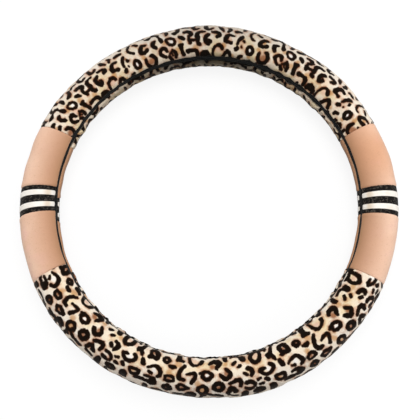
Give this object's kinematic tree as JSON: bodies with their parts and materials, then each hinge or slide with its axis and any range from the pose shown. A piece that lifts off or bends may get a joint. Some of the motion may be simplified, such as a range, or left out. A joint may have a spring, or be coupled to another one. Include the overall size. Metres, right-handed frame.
{
  "type": "steering wheel cover",
  "caption": "Plush ring of C-shaped section that slips over a steering wheel's rim, spotted above and below, plain at the sides with a striped band round each side.",
  "frame": {"origin": "on the surface that the cover lies on, under the ring's middle", "axes": "+Z along the ring's axis towards the driver, +Y to the top of the wheel, +X to the driver's right"},
  "size_m": [0.39, 0.39, 0.0391],
  "materials": {
    "leopard_plush": "short plush pile printed with dark rosettes on a cream and ochre ground",
    "tan_plush": "short smooth pile, plain peach tan",
    "black_webbing": "woven black band with picot edges",
    "cream_ribbon": "ribbed satin",
    "black_rubber": "moulded, half matt"
  },
  "bodies": {
    "root": {"inner_ring": "black_rubber", "upper_panel": "leopard_plush", "lower_panel": "leopard_plush", "right_panel": "tan_plush", "left_panel": "tan_plush", "right_band": "black_webbing", "left_band": "black_webbing", "right_upper_ribbon": "cream_ribbon", "right_lower_ribbon": "cream_ribbon", "left_upper_ribbon": "cream_ribbon", "left_lower_ribbon": "cream_ribbon"}
  },
  "joints": []
}
